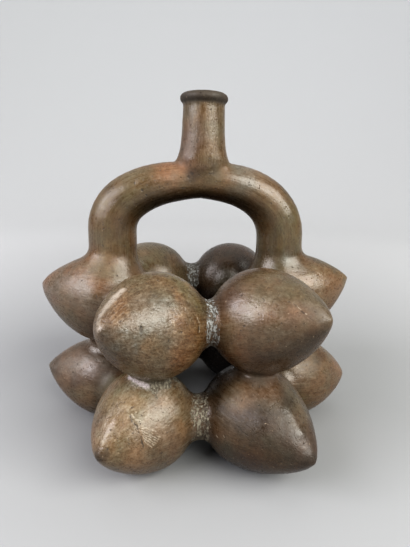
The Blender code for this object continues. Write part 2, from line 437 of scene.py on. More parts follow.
def net_mesh(distance, low, high, cell):
    """Corners and quads of a closed net round the inside of a distance."""
    counts = np.ceil((high - low) / cell).astype(int) + 1
    axes = [low[axis] + cell * np.arange(counts[axis]) for axis in range(3)]
    grid = np.stack(np.meshgrid(*axes, indexing="ij"), -1)
    values = np.empty(counts)
    for index in range(counts[0]):
        values[index] = distance(grid[index].reshape(-1, 3)).reshape(counts[1:])
    inside = values < 0
    cells = counts - 1
    filled = np.zeros(cells, int)
    for corner in CORNERS:
        ends = corner + cells
        filled += inside[corner[0]:ends[0], corner[1]:ends[1], corner[2]:ends[2]]
    crossed = np.argwhere((filled > 0) & (filled < 8))
    total = np.zeros((len(crossed), 3))
    count = np.zeros(len(crossed))
    for first in range(8):
        for axis in range(3):
            if CORNERS[first][axis]:
                continue
            start = crossed + CORNERS[first]
            end = start + np.eye(3, dtype=int)[axis]
            at_start = values[tuple(start.T)]
            at_end = values[tuple(end.T)]
            cut = (at_start < 0) != (at_end < 0)
            share = np.where(cut, at_start / np.where(cut, at_start - at_end, 1), 0)
            place = start + share[:, None] * np.eye(3)[axis]
            total += np.where(cut[:, None], place, 0)
            count += cut
    corners = low + cell * total / count[:, None]
    number = np.full(cells, -1)
    number[tuple(crossed.T)] = np.arange(len(crossed))
    quads = []
    for axis in range(3):
        side = np.eye(3, dtype=int)[(axis + 1) % 3]
        other = np.eye(3, dtype=int)[(axis + 2) % 3]
        along = np.eye(3, dtype=int)[axis]
        here = inside[tuple(slice(1, count - 1) for count in counts)]
        ahead = inside[tuple(slice(1 + s, count - 1 + s) for count, s in zip(counts, along))]
        edges = np.argwhere(here != ahead) + 1
        leaving = inside[tuple(edges.T)]
        around = [edges, edges - side, edges - side - other, edges - other]
        ring = np.stack([number[tuple(place.T)] for place in around], 1)
        ring[~leaving] = ring[~leaving][:, ::-1]
        quads.append(ring)
    return corners, np.concatenate(quads)


def mesh_object(name, corners, quads):
    """A mesh object in the scene."""
    mesh = bpy.data.meshes.new(name)
    mesh.from_pydata(corners.tolist(), [], quads.tolist())
    mesh.validate()
    item = bpy.data.objects.new(name, mesh)
    bpy.context.scene.collection.objects.link(item)
    return item


# The camera's frame, from which marks of the photograph are placed on the surface


def camera_matrix():
    """The camera's place and turn in the world."""
    turned = Matrix.Rotation(CAMERA_YAW, 4, "Z")
    placed = turned @ Matrix.Translation(CAMERA_PLACE)
    tilt = Matrix.Rotation(math.pi / 2 + CAMERA_PITCH, 4, "X")
    roll = Matrix.Rotation(CAMERA_ROLL, 4, "Z")
    return Matrix.Translation(Vector(AXIS)) @ placed @ tilt @ roll


def points_at_pixels(pixels):
    """Where the sight lines through the pixels first meet the vessel."""
    matrix = np.array(camera_matrix())
    pixels = np.asarray(pixels, float)
    aims = np.stack([
        (pixels[:, 0] - PRINCIPAL_PIXEL[0]) / FOCAL_PIXELS,
        (PRINCIPAL_PIXEL[1] - pixels[:, 1]) / FOCAL_PIXELS,
        -np.ones(len(pixels)),
    ], 1)
    aims = aims @ matrix[:3, :3].T
    aims /= np.linalg.norm(aims, axis=1)[:, None]
    travel = np.full(len(pixels), SIGHT_START)
    for _ in range(SIGHT_STEPS):
        points = matrix[:3, 3] + travel[:, None] * aims
        travel += SIGHT_SHARE * np.clip(outer_distance(points), -SIGHT_STEP, SIGHT_STEP)
    return matrix[:3, 3] + travel[:, None] * aims


def main_camera():
    """The photograph's view."""
    data = bpy.data.cameras.new("camera")
    data.sensor_fit = "HORIZONTAL"
    data.sensor_width = SENSOR_WIDTH
    data.lens = SENSOR_WIDTH * FOCAL_PIXELS / IMAGE_WIDTH
    data.clip_start = CLIP_START
    data.clip_end = CLIP_END
    camera = bpy.data.objects.new("camera", data)
    camera.matrix_world = camera_matrix()
    bpy.context.scene.collection.objects.link(camera)
    bpy.context.scene.camera = camera


# Colours of the clay, as the share of light that they send back

CLAY = {
    "tan": (0.166, 0.118, 0.072),
    "warm": (0.120, 0.085, 0.047),
    "bronze": (0.104, 0.069, 0.033),
    "brown": (0.101, 0.067, 0.038),
    "umber": (0.065, 0.044, 0.026),
    "dark": (0.048, 0.031, 0.018),
    "plum": (0.096, 0.063, 0.045),
    "orange": (0.122, 0.078, 0.041),
    "amber": (0.116, 0.078, 0.043),
    "terracotta": (0.172, 0.092, 0.047),
    "rose": (0.115, 0.081, 0.054),
    "olive": (0.104, 0.082, 0.044),
    # ash grey, also laid on as painted highlight
    "ash_and_highlight": (0.128, 0.122, 0.102),
    # soot, also laid on as painted shade
    "soot_and_shade": (0.020, 0.014, 0.010),
    "pale": (0.260, 0.215, 0.160),
}
GLOBE_TONES = {
    "upper_right": "orange",
    "upper_back_right": "dark",
    "upper_back_left": "warm",
    "upper_left": "rose",
    "upper_front_left": "warm",
    "upper_front_right": "brown",
    "lower_right": "amber",
    "lower_back_right": "dark",
    "lower_back_left": "brown",
    "lower_left": "rose",
    "lower_front_left": "tan",
    "lower_front_right": "dark",
}
STIRRUP_TONE = "bronze"
SPOUT_TONE = "warm"

# How coarse the surface looks: on most globes, on the stirrup, on the spout, and on the globes
# that are more scuffed
TEXTURE = 0.54
STIRRUP_TEXTURE = 0.42
SPOUT_TEXTURE = 0.56
SCUFFED = {"upper_front_left": 0.86, "lower_front_left": 0.62}

# How far from a form's surface its tone and texture run into the next form's, in metres
TONE_BLEND = 0.0050

# How strongly fine variation changes red, green and blue: dark specks are redder, light ones
# greyer
SPECK_POWERS = (0.82, 1.0, 1.32)

# Heights between which the crust turns from yellow earth to a whiter bloom
EARTH_TURNS = (0.058, 0.074)

# Fire clouds all over: what they multiply the colour by, size in metres, seed
CLOUDS = (
    ((0.90, 1.00, 0.92), 0.030, 71),
    ((1.18, 1.02, 0.90), 0.024, 72),
    ((0.72, 0.71, 0.74), 0.026, 73),
)

# Patches of colour, some of them painted highlight or painted shade as noted: clay colour, pixel of
# the photograph, radius in millimetres, strength
PATCHES = (
    ("terracotta", (180, 168), 8, 0.80),
    ("terracotta", (167, 175), 8, 0.65),
    ("olive", (128, 186), 12, 0.55),
    ("orange", (106, 222), 9, 0.45),
    ("orange", (131, 234), 7, 0.55),
    ("olive", (108, 245), 9, 0.45),
    ("olive", (100, 264), 9, 0.65),
    ("olive", (116, 278), 8, 0.45),
    ("soot_and_shade", (191, 175), 5, 0.65),
    ("soot_and_shade", (150, 202), 7, 0.30),
    # painted highlight: grey on the crown right of the spout
    ("ash_and_highlight", (245, 180), 9, 0.60),
    # painted highlight on the spout's pale streak
    ("pale", (212, 132), 4, 0.28),
    # painted highlight on the right foot of the stirrup
    ("ash_and_highlight", (286, 258), 5, 0.50),
    ("umber", (272, 240), 12, 0.40),
    ("olive", (292, 236), 8, 0.40),
    ("plum", (186, 146), 9, 0.80),
    ("olive", (221, 130), 7, 0.30),
    ("orange", (125, 297), 9, 0.50),
    ("amber", (122, 346), 12, 0.55),
    ("orange", (112, 322), 7, 0.40),
    ("tan", (152, 354), 17, 0.60),
    ("umber", (108, 344), 10, 0.35),
    # grey fire cloud at the front upper left globe's highlight, also painted highlight that whitens
    # it
    ("ash_and_highlight", (157, 314), 10, 0.75),
    ("ash_and_highlight", (143, 328), 6, 0.45),
    ("soot_and_shade", (104, 334), 3, 0.40),
    ("terracotta", (178, 362), 6, 0.40),
    ("olive", (262, 284), 12, 0.40),
    ("plum", (232, 300), 9, 0.50),
    ("tan", (229, 328), 8, 0.45),
    ("umber", (275, 355), 14, 0.50),
    # painted shade on the lower right of the front upper right globe
    ("umber", (310, 344), 9, 0.80),
    ("soot_and_shade", (316, 336), 5, 0.35),
    ("rose", (309, 310), 6, 0.25),
    # painted highlight: lifts the right of the front upper right globe's highlight
    ("pale", (262, 306), 6, 0.20),
    ("pale", (150, 395), 12, 0.36),
    ("pale", (150, 432), 5, 0.28),
    ("tan", (85, 395), 9, 0.80),
    ("rose", (262, 388), 12, 0.90),
    ("terracotta", (137, 444), 5, 0.35),
    ("olive", (115, 446), 10, 0.50),
    ("umber", (165, 455), 12, 0.45),
    ("soot_and_shade", (97, 459), 4, 0.75),
    ("umber", (192, 440), 8, 0.50),
    ("tan", (240, 394), 8, 0.50),
    ("tan", (302, 416), 7, 0.35),
    ("amber", (222, 432), 8, 0.50),
    ("soot_and_shade", (292, 452), 8, 0.35),
    ("soot_and_shade", (310, 458), 6, 0.45),
    ("soot_and_shade", (215, 384), 7, 0.45),
    ("rose", (74, 286), 10, 0.60),
    ("olive", (70, 318), 12, 0.45),
    ("orange", (322, 282), 12, 0.60),
    ("orange", (326, 372), 10, 0.40),
    ("olive", (300, 398), 9, 0.40),
    ("soot_and_shade", (243, 262), 9, 0.60),
)

# How much crust sits on the necks of the upper ring, of the lower ring and between the rings,
# each from the right side round by the back
NECK_CRUST = (
    (0.45, 0.95, 0.60, 0.45, 1.00, 0.50),
    (0.45, 0.40, 0.50, 0.40, 0.92, 0.45),
    (0.35, 0.40, 0.35, 0.40, 0.98, 0.35),
)

# Crust elsewhere: pixel of the photograph, radius in millimetres, strength
CRUST_SPOTS = (
    ((145, 386), 3.5, 0.80),
    ((156, 385), 5.0, 1.10),
    ((166, 383), 5.5, 1.20),
    ((176, 379), 5.5, 1.20),
    ((190, 388), 4.5, 0.95),
    ((262, 380), 4.0, 0.30),
    ((201, 322), 2.0, 0.55),
)

# Where the burnish is dull: pixel of the photograph, radius in millimetres, strength
DULL_SPOTS = (
    ((184, 173), 5, 0.90),
    ((184, 163), 4, 0.70),
    ((220, 172), 5, 0.70),
    ((101, 200), 9, 0.30),
    ((189, 124), 7, 0.35),
    ((189, 144), 7, 0.35),
    ((322, 318), 6, 0.35),
    ((104, 262), 8, 0.40),
    ((72, 288), 14, 0.22),
    ((277, 255), 4, 0.40),
    ((260, 378), 7, 0.95),
    ((280, 432), 8, 0.45),
    ((306, 446), 6, 0.30),
    ((240, 415), 11, 0.45),
    ((104, 378), 7, 0.60),
    ((157, 413), 9, 0.25),
    ((68, 366), 14, 0.40),
    ((306, 318), 9, 0.65),
    ((312, 362), 10, 0.45),
)

# Marks finer than the mesh, drawn by the material: the pixels at both ends, half width in
# millimetres, strength
CUTS = (
    (136.5, 425.5, 143.7, 447, 0.45, 0.80),
    (130.5, 415.5, 132, 422, 0.35, 0.60),
    (134, 424, 137, 426, 0.40, 0.70),
    (124, 402.8, 127.5, 402.4, 0.40, 0.65),
    (131, 408, 133.6, 406.6, 0.45, 0.65),
    (141, 327, 141.5, 333, 0.80, 0.45),
    (152, 295, 157, 296.5, 0.60, 0.35),
    (157.2, 280.4, 158.6, 281.2, 0.45, 0.80),
    (198.7, 326.6, 199, 329.4, 0.45, 0.90),
    (170.8, 322.4, 171.6, 325, 0.40, 0.65),
    (294, 303.6, 298, 307.2, 0.30, 0.45),
    (301.4, 311.6, 303.8, 313.4, 0.45, 0.55),
    (289, 301.8, 291, 302.8, 0.30, 0.45),
    (134.2, 182.6, 134.6, 183.6, 0.75, 0.85),
    (142, 190, 142.6, 190.8, 0.70, 0.80),
    (146.2, 194.8, 146.8, 195.4, 0.65, 0.80),
    (188.4, 176.6, 189.2, 177.4, 1.00, 0.45),
    (191.8, 173, 192.4, 174.2, 1.10, 0.50),
    (190, 181.2, 190.6, 181.8, 0.80, 0.35),
    (194.8, 169, 195.2, 170, 0.80, 0.35),
    (209.6, 173.8, 213.6, 173.4, 0.45, 0.45),
)
SCRATCHES = (
    (210.4, 172, 212.4, 171.8, 0.55, 0.45),
    (132, 414, 134, 418, 0.40, 0.60),
    (136, 419.6, 144.5, 422, 0.50, 0.35),
    (139.8, 426.5, 156, 431, 0.50, 0.30),
    (185, 308.2, 185.2, 310.2, 0.40, 0.80),
    (173.6, 322.4, 174.2, 325.6, 0.40, 0.45),
    (197.6, 318.4, 199.8, 325, 0.70, 0.35),
    (199.6, 327, 199.2, 332, 0.45, 0.45),
    (305.4, 313.6, 306.6, 314.4, 0.40, 0.50),
    (296, 305, 301, 309.4, 0.30, 0.40),
    (216.4, 435, 217.4, 437, 0.40, 0.80),
    (223.2, 435.6, 224.4, 437.4, 0.35, 0.60),
)
# Painted highlight: a pale strip along the left of the front upper left globe, standing in for a
# window's reflection
HIGHLIGHT_STRIP = (
    (121.6, 290.6, 116, 296, 2.60, 0.90),
    (115, 296.6, 111.6, 300.6, 3.10, 0.90),
    (108.6, 304, 100, 315, 3.00, 0.75),
    (98.8, 318, 97, 330, 1.80, 0.60),
)
# Painted highlights: lilac-white glints on the crust under the front upper left globe
PAINTED_GLINTS = (
    (129, 377, 137, 381, 1.30, 0.85),
    (136, 379.6, 146.4, 386, 1.90, 0.90),
)
MARKS = {"cut": CUTS, "scratch": SCRATCHES, "rub_and_highlight": HIGHLIGHT_STRIP, "painted_glint": PAINTED_GLINTS}

# Rows of like marks: kind, count, the ends of the first and of the last, half width, strength
MARK_ROWS = (
    ("scratch", 6, (141, 428, 161, 437.5), (144, 441, 152, 447), 0.38, 0.55),
    ("cut", 5, (141.5, 430, 158, 438), (144, 439.5, 151.5, 444.5), 0.28, 0.32),
    ("cut", 5, (111.5, 407, 115, 401), (117.5, 407.5, 121, 401.5), 0.24, 0.45),
    ("cut", 3, (236, 425, 248, 436), (252, 421, 262, 430), 0.28, 0.25),
    # rows of pale streaks beside the painted highlight strip
    ("rub_and_highlight", 4, (106, 310, 121, 298), (112, 322, 128, 309), 0.35, 0.25),
)

# Pits and nicks: pixel, radius in millimetres, depth in millimetres
PITS = (
    ((170, 321), 1.6, 0.45),
    ((173, 328), 1.3, 0.40),
    ((142, 332), 1.6, 0.35),
    ((144, 277), 1.4, 0.35),
    ((302, 309), 1.8, 0.35),
    ((296, 304), 1.2, 0.35),
    ((134, 183), 1.5, 0.45),
    ((144, 193), 1.8, 0.50),
    ((97, 317), 1.4, 0.40),
    ((211, 171), 1.5, 0.60),
    ((240, 303), 1.1, 0.25),
)

# Gouges: the pixels at both ends, half width and depth in millimetres; a ridge has a depth
# below zero
GOUGES = (
    ((137, 430), (144, 447), 0.9, 0.55),
    ((150, 424), (162, 431), 0.6, 0.15),
    ((286, 408), (301, 434), 2.4, -0.50),
    ((301, 434), (318, 462), 2.2, -0.60),
    ((127, 405), (115, 421), 2.2, -0.40),
    ((115, 421), (97, 455), 2.2, -0.55),
)


# Unevenness that the hand left, and the grains of the crust: strength, size in metres, seed and
# layers of each noise; the unevenness has its height in metres as its strength
HAND_WAVES = ((0.00022, 0.021, 11, 2), (0.00007, 0.0055, 21, 1))
CRUST_GRAINS = ((1.0, 0.0021, 31, 1), (0.6, 0.0034, 32, 1))

# How high the crust stands in metres, and the share of that below its grains
CRUST_HEIGHT = 0.00030
CRUST_BASE = 0.4

# Wear of the points: how far from a point it ends and is full, and its depth, in metres
TIP_WEAR_EDGE = (0.009, 0.001)
TIP_WEAR = 0.00025

# How much shallower gouges and ridges are at their ends
GOUGE_FADE = 0.6
RIDGE_FADE = 0.2

# Heights over which the relief fades out at the table and at the top of the lip
TABLE_FADE = 0.0015
LIP_FADE = 0.0010

# What makes the borders of spots, joints and patches ragged: noises, as above
SPOT_RAGGED = ((0.45, 0.005, 41, 2),)
NECK_RAGGED = ((0.0010, 0.006, 51, 2),)
PATCH_RAGGED = ((0.5, 0.009, 61, 3),)

# Where the strength of a spot and of a patch ends and is full, in their radii
SPOT_EDGE = (1.3, 0.5)
PATCH_EDGE = (1.7, 0.2)

# How far from a neck the crust and the painted shade of the joints reach, and where they are full, in
# metres
CRUST_REACH = 0.0030
JOINT_SHADE_REACH = 0.0080
NECK_CORE = 0.0006

# The noise's range over which a fire cloud sets in, and its layers
CLOUD_EDGE = (0.10, 0.75)
CLOUD_LAYERS = 4

# Between which heights the lip's own look sets in, how sooty and how dull it is
LIP_EDGE = (LIP_BOTTOM_Z - 0.0012, LIP_BOTTOM_Z + 0.0004)
LIP_SOOT = 0.78
LIP_DULL = 0.70

# Painted shadow in the groove under the lip: its height, and how far from it the painted shadow ends
# and is full
GROOVE_Z = LIP_BOTTOM_Z - 0.0006
GROOVE_EDGE = (0.0016, 0.0004)
GROOVE_PAINTED_SHADOW = 0.50

# Painted shade on the inner side of the stirrup, more under its crown: how far from its surface and
# from its centreline it ends and is full, and the heights over which it grows
INNER_SKIN_EDGE = (0.004, 0.001)
INNER_SIDE_EDGE = (-0.001, -0.009)
UNDER_CROWN_EDGE = (0.128, 0.150)
ARM_PAINTED_SHADE = 0.10
CROWN_PAINTED_SHADE = 0.65

# Painted shade in the well between the globes: the distances from the axis and the heights at which
# it ends and is full
WELL_EDGE = (0.052, 0.038)
WELL_TOP_EDGE = (0.086, 0.070)
# How strong the painted shade in the joints between the globes is
JOINT_PAINTED_SHADE = 0.22

# How much farther the second nearest form is where the strokes fade and where they are full
STROKE_EDGE = (0.0008, 0.0050)


def near_distances(points, forms):
    """Distance of each point to each form, or FAR where the form isn't near."""
    distances = np.full((len(forms), len(points)), FAR)
    for index, form in enumerate(forms):
        near = form.near(points)
        distances[index, near] = form.distance(points[near])
    return distances


def spots_away(points, spots):
    """The last value of each (pixel, radius, value) spot, and how many radii away each point is."""
    centres = points_at_pixels([spot[0] for spot in spots])
    for (_, radius, value), centre in zip(spots, centres):
        yield value, np.linalg.norm(points - centre, axis=1) / (radius * MILLIMETRE)


def relief_height(points):
    """How far the finished surface stands proud of the smooth one, in metres."""
    height = waves(points, HAND_WAVES)
    for globe in GLOBE_FORMS:
        tip = globe.centre + globe.tip * globe.radius * globe.reach
        at_tip = smooth_step(*TIP_WEAR_EDGE, np.linalg.norm(points - tip, axis=1))
        height = height * (1 - at_tip) - TIP_WEAR * at_tip
    height += crust_share(points) * CRUST_HEIGHT * (CRUST_BASE + waves(points, CRUST_GRAINS))
    for depth, away in spots_away(points, PITS):
        height -= depth * MILLIMETRE * np.exp(-away ** 2)
    for first, second, half_width, depth in GOUGES:
        start, end = points_at_pixels([first, second])
        step = end - start
        share = np.clip((points - start) @ step / (step @ step), 0, 1)
        away = np.linalg.norm(points - start - share[:, None] * step, axis=1)
        fade = 1 - (GOUGE_FADE if depth > 0 else RIDGE_FADE) * np.abs(2 * share - 1)
        height -= depth * MILLIMETRE * fade * np.exp(-(away / (half_width * MILLIMETRE)) ** 2)
    standing = smooth_step(0, TABLE_FADE, points[:, 2])
    top = AXIS[2] + LIP_Z + LIP_ROLL_HEIGHT
    below_lip = smooth_step(0, LIP_FADE, top - points[:, 2])
    return height * standing * below_lip


def spot_share(points, spots):
    """How strongly each point lies in any of the (pixel, radius, strength) spots."""
    share = np.zeros(len(points))
    ragged = 1 + waves(points, SPOT_RAGGED)
    for strength, away in spots_away(points, spots):
        share = np.maximum(share, strength * smooth_step(*SPOT_EDGE, away * ragged))
    return share


def neck_shares(points, reach):
    """How close each point is to each neck, from 0 at a reach in metres to 1 on the neck."""
    distances = near_distances(points, NECK_FORMS) + waves(points, NECK_RAGGED)
    return smooth_step(reach, NECK_CORE, distances)


def crust_share(points):
    """Earth crust that fills the joints between the globes."""
    upper, lower, between = NECK_CRUST
    amounts = np.array([amount for row in zip(upper, lower, between) for amount in row])
    in_joint = (neck_shares(points, CRUST_REACH) * amounts[:, None]).max(0)
    return np.maximum(in_joint, spot_share(points, CRUST_SPOTS))


def tinted(colour, tone, share):
    """Colours moved a share of the way towards one of the clay's colours."""
    return colour + share[:, None] * (np.array(CLAY[tone]) - colour)


def form_weights(points):
    """How much each globe, the stirrup and the spout count at each point."""
    distances = near_distances(points, MAIN_FORMS)
    weights = np.exp(-np.maximum(distances, 0) / TONE_BLEND) + LEAST_WEIGHT
    return weights / weights.sum(0)


def lip_share(points):
    """Which points lie on the lip."""
    return smooth_step(*LIP_EDGE, points[:, 2])


def soot_and_shade_shares(points):
    """How much soot and painted shade each point takes: soot on the lip, then painted shadow under it
    and painted shade inside the stirrup, in the well and in the joints, one after the other."""
    height = points[:, 2]
    groove = smooth_step(*GROOVE_EDGE, np.abs(height - GROOVE_Z))
    distance, local = STIRRUP.nearest(points)
    inward = smooth_step(*INNER_SKIN_EDGE, np.abs(distance))
    inward *= smooth_step(*INNER_SIDE_EDGE, local[:, 1])
    under_crown = ARM_PAINTED_SHADE + CROWN_PAINTED_SHADE * smooth_step(*UNDER_CROWN_EDGE, height)
    in_well = smooth_step(*WELL_EDGE, np.hypot(points[:, 0], points[:, 1]))
    in_well *= smooth_step(*WELL_TOP_EDGE, height)
    joint_shade = neck_shares(points, JOINT_SHADE_REACH).max(0)
    return (
        LIP_SOOT * lip_share(points),
        GROOVE_PAINTED_SHADOW * groove,
        under_crown * inward,
        in_well,
        JOINT_PAINTED_SHADE * joint_shade,
    )


def clay_tones(points, weights):
    """Colour of the clay at each point, before the fine mottling, with painted shade and painted
    highlight patches laid in.
    """
    tones = [CLAY[GLOBE_TONES[name]] for name in GLOBES] + [CLAY[STIRRUP_TONE], CLAY[SPOUT_TONE]]
    colour = weights.T @ np.array(tones)
    for factors, size, seed in CLOUDS:
        share = smooth_step(*CLOUD_EDGE, layered_noise(points, size, seed, CLOUD_LAYERS))
        colour *= 1 + share[:, None] * (np.array(factors) - 1)
    ragged = 1 + waves(points, PATCH_RAGGED)
    spots = spots_away(points, [patch[1:] for patch in PATCHES])
    for (tone, *_), (strength, away) in zip(PATCHES, spots):
        colour = tinted(colour, tone, strength * smooth_step(*PATCH_EDGE, away * ragged))
    # Soot on the lip, and painted shade under it, inside the stirrup, in the well and in the joints
    for share in soot_and_shade_shares(points):
        colour = tinted(colour, "soot_and_shade", share)
    return colour


def stroke_places(points):
    """Coordinates that follow each form, with Z along the way it was rubbed, and how clear of
    the borders between forms each point is, because the strokes fade out there."""
    candidates = [globe.local(points) + FORM_SHIFT * index for index, globe in enumerate(GLOBE_FORMS)]
    candidates.append(STIRRUP.nearest(points)[1] + FORM_SHIFT * len(candidates))
    candidates.append(points - AXIS + FORM_SHIFT * len(candidates))
    distances = np.abs(near_distances(points, MAIN_FORMS))
    closest = distances.argmin(0)
    places = np.stack(candidates)[closest, np.arange(len(points))]
    nearest, second = np.partition(distances, 1, axis=0)[:2]
    return places, smooth_step(*STROKE_EDGE, second - nearest)


def add_attribute(mesh, name, kind, field, values):
    """Writes one value per corner point of the mesh."""
    layer = mesh.attributes.new(name, kind, "POINT")
    layer.data.foreach_set(field, np.asarray(values, np.float32).ravel())


def make_vessel():
    """The vessel's finished mesh, hollow like the solid."""
    low = np.array(CAD_LOW) - 3 * OUTER_CELL
    high = np.array(CAD_HIGH) + 3 * OUTER_CELL
    corners, quads = net_mesh(outer_distance, low, high, OUTER_CELL)
    corners = settled(outer_distance, corners)
    slope = slope_of(outer_distance, corners)
    slope /= np.linalg.norm(slope, axis=1)[:, None]
    corners = corners + relief_height(corners)[:, None] * slope
    corners[:, 2] = np.maximum(corners[:, 2], 0)
    vessel = mesh_object("stirrup_vessel_clay", corners, quads)
    forms = hollow_forms()

    def inner_distance(points):
        """Distance to the hollow."""
        return form_distance(points, forms)

    inner_corners, inner_quads = net_mesh(inner_distance, low, high + WALL + INNER_CELL, INNER_CELL)
    inner_corners = settled(inner_distance, inner_corners)
    hollow = mesh_object("hollow", inner_corners, inner_quads)
    removal = vessel.modifiers.new("hollow", "BOOLEAN")
    removal.operation = "DIFFERENCE"
    removal.solver = "EXACT"
    removal.object = hollow
    bpy.context.view_layer.update()
    graph = bpy.context.evaluated_depsgraph_get()
    mesh = bpy.data.meshes.new_from_object(vessel.evaluated_get(graph))
    bpy.data.objects.remove(hollow)
    vessel.modifiers.clear()
    vessel.data = mesh
    mesh.name = "stirrup_vessel_clay"
    points = np.empty(len(mesh.vertices) * 3)
    mesh.vertices.foreach_get("co", points)
    points = points.reshape(-1, 3)
    weights = form_weights(points)
    tones = clay_tones(points, weights)
    dull = np.maximum(spot_share(points, DULL_SPOTS), LIP_DULL * lip_share(points))
    add_attribute(mesh, "tone", "FLOAT_COLOR", "color", np.column_stack([tones, 1 - dull]))
    textures = [SCUFFED.get(name, TEXTURE) for name in GLOBES] + [STIRRUP_TEXTURE, SPOUT_TEXTURE]
    add_attribute(mesh, "texture", "FLOAT", "value", weights.T @ np.array(textures))
    places, clear = stroke_places(points)
    add_attribute(mesh, "crust", "FLOAT", "value", crust_share(points))
    add_attribute(mesh, "stroke", "FLOAT_VECTOR", "vector", places)
    add_attribute(mesh, "clear", "FLOAT", "value", clear)
    mesh.shade_smooth()
    return vessel


# Materials

# Noises of the clay: waves per metre, alike all ways or along X, Y and Z; detail; roughness
NOISES = {
    "clouds": (60, 3, 0.60),
    "tints": (75, 2, 0.55),
    "mottle": (330, 4, 0.70),
    "grain": (1000, 3, 0.70),
    "pinholes": (620, 2, 0.5),
    "specks": (780, 2, 0.5),
    "crumbs": (620, 4, 0.75),
    "fibres": ((950, 950, 180), 3, 0.65),
}

# Noises that run along the strokes, and the middle value that they fade to between forms
STROKE_NOISES = {
    "bands": ((330, 330, 30), 3, 0.60),
    "streaks": ((900, 900, 80), 3, 0.65),
}
STROKE_MIDDLE = 0.5

# How far noises darken and lighten the clay: the noise's range, the darkest, the lightest
SHADES = {
    "clouds": (0.35, 0.65, 0.86, 1.14),
    "mottle": (0.36, 0.64, 0.76, 1.26),
    "bands": (0.36, 0.64, 0.82, 1.18),
    "streaks": (0.36, 0.64, 0.76, 1.24),
    "grain": (0.36, 0.64, 0.72, 1.28),
}

# How far noises break up the marks: the noise, its range, the least and the most that is left
BREAKS = {
    "rub_and_highlight": ("mottle", 0.34, 0.54, 0.45, 1.0),
    "scratch": ("grain", 0.34, 0.58, 0.25, 1.0),
    "painted_glint": ("grain", 0.36, 0.52, 0.45, 1.0),
}

# How far a noise makes the marks wander, in metres, and where the strength of a mark ends and is
# full, in its half widths
WANDER = 0.0012
WANDER_NOISE = {"Scale": 700, "Detail": 2}
LINE_EDGE = (1.3, 0.3)

# The casts that the clay's colour wanders between, and the colours of the crust: its shade, the
# yellow earth and the bloom
RED_CAST = (1.07, 0.98, 0.91, 1)
GREY_CAST = (0.94, 1.01, 1.04, 1)
CRUMB_SHADE = (0.055, 0.046, 0.034, 1)
EARTH = (0.26, 0.24, 0.19, 1)
BLOOM = (0.34, 0.35, 0.345, 1)

# What lies on the clay, and the painted highlights, in order: its value, strength and colour, where
# the crust's is mixed
LAYERS = (
    ("pits", 0.70, (0.022, 0.015, 0.010, 1)),
    ("flecks", 0.50, (0.38, 0.31, 0.22, 1)),
    # the painted highlight strip, and the rows of pale streaks beside it
    ("rub_and_highlight", 1.0, (0.38, 0.335, 0.285, 1)),
    ("scratch", 1.0, (0.50, 0.45, 0.37, 1)),
    ("cut", 1.0, (0.012, 0.008, 0.005, 1)),
    ("crusted", 1.0, None),
    # the painted highlight glints
    ("painted_glint", 1.0, (0.56, 0.51, 0.53, 1)),
)

# How much each value counts in the hue, the crust's cover and tone, the gloss and the relief
HUE_MIX = {"tints": 0.7, "bands": 0.3}
COVER_MIX = {"crust": 0.85, "crumbs": 1.4, "fibres": 1.6}
CRUMB_MIX = {"crumbs": 0.4, "fibres": 0.6}
SATIN_MIX = {"mottle": 0.5, "streaks": 0.5}
ROUGH_MIX = {"satin": 1.0, "dull": 0.45, "crusted": 0.50, "pits": 0.30, "cut": 0.40, "scratch": 0.20}
SKIN_MIX = {"bands": 0.30, "streaks": 0.22, "mottle": 0.34, "grain": 0.10}
RELIEF_MIX = {"skin": 1.0, "pits": -0.10, "cut": -0.14, "crumb_height": 0.50}

# The ranges of values over which each of these sets in, and the roughness of the satin skin
HUE_RANGE = (0.36, 0.64)
PIT_RANGE = (0.33, 0.27)
FLECK_RANGE = (0.70, 0.76)
COVER_RANGE = (2.10, 2.40)
CRUMB_RANGE = (0.40, 0.62)
SATIN_RANGE = (0.38, 0.62, 0.24, 0.38)
CLAY_SPECULAR = 0.68
CLAY_IOR = 1.5
PAPER_ROUGHNESS = 0.9


